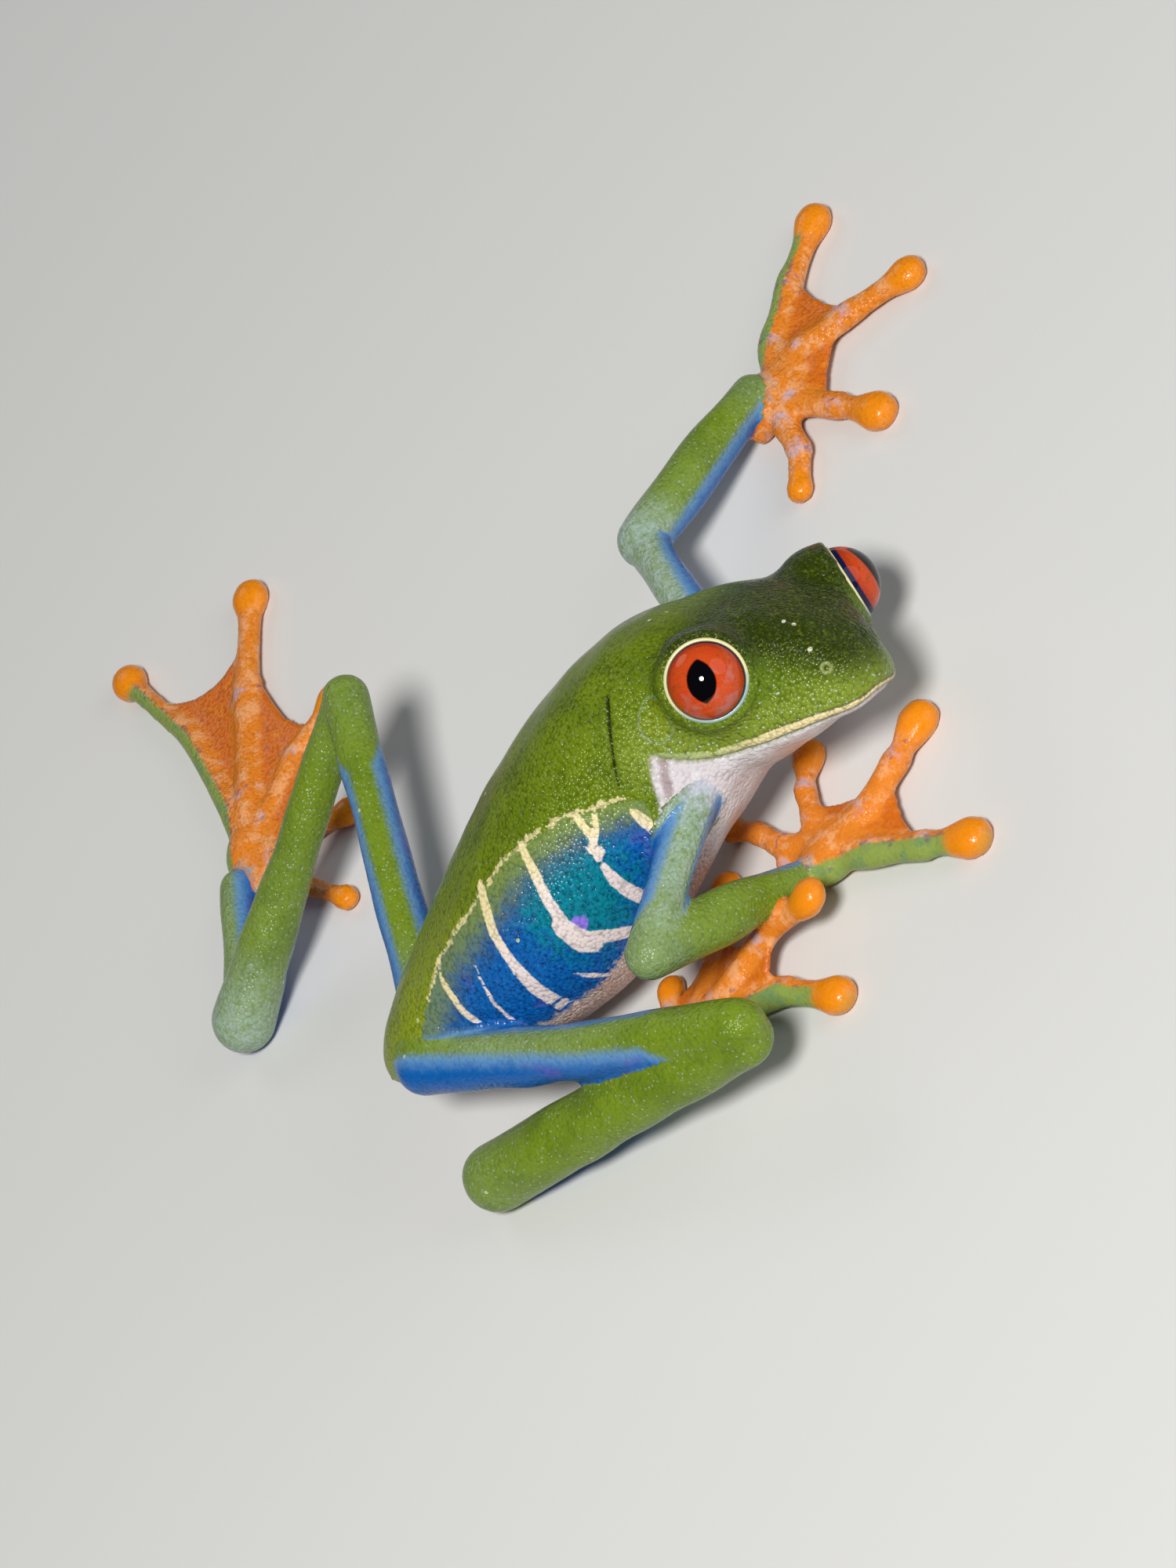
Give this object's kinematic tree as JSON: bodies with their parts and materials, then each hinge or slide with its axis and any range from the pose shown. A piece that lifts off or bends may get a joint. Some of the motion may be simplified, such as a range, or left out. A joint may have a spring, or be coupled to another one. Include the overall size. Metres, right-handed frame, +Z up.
{
  "type": "red-eyed tree frog",
  "caption": "Life-size tree frog crouched on its spread hands and feet, body leaning over to one side, large bulging eyes and disc-tipped digits.",
  "frame": {"origin": "centre of the frog's bounding box on the floor that its hands and feet rest on", "axes": "+Z up from the floor; the trunk heads towards -Y and the head is turned towards -X and a little -Y; the spread left leg makes X the longest extent"},
  "size_m": [0.0927, 0.0797, 0.0212],
  "materials": {
    "head": "moist, finely granular skin",
    "torso": "moist, finely granular skin, blue and cream flanks and a white belly in the render",
    "upper_arm_right": "moist smooth skin",
    "upper_arm_left": "moist smooth skin",
    "forearm_right": "moist smooth skin",
    "forearm_left": "moist smooth skin",
    "hand_right": "glossy moist skin",
    "hand_left": "glossy moist skin",
    "thigh_right": "moist smooth skin",
    "thigh_left": "moist smooth skin",
    "shank_right": "moist smooth skin",
    "shank_left": "moist smooth skin",
    "tarsus_right": "moist smooth skin",
    "tarsus_left": "moist smooth skin",
    "foot_right": "glossy moist skin",
    "foot_left": "glossy moist skin",
    "eye_right": "wet and glossy",
    "eye_left": "wet and glossy"
  },
  "bodies": {
    "root": {"head": "head", "torso": "torso", "upper_arm_right": "upper_arm_right", "upper_arm_left": "upper_arm_left", "forearm_right": "forearm_right", "forearm_left": "forearm_left", "hand_right": "hand_right", "hand_left": "hand_left", "thigh_right": "thigh_right", "thigh_left": "thigh_left", "shank_right": "shank_right", "shank_left": "shank_left", "tarsus_right": "tarsus_right", "tarsus_left": "tarsus_left", "foot_right": "foot_right", "foot_left": "foot_left", "eye_right": "eye_right", "eye_left": "eye_left"}
  },
  "joints": []
}
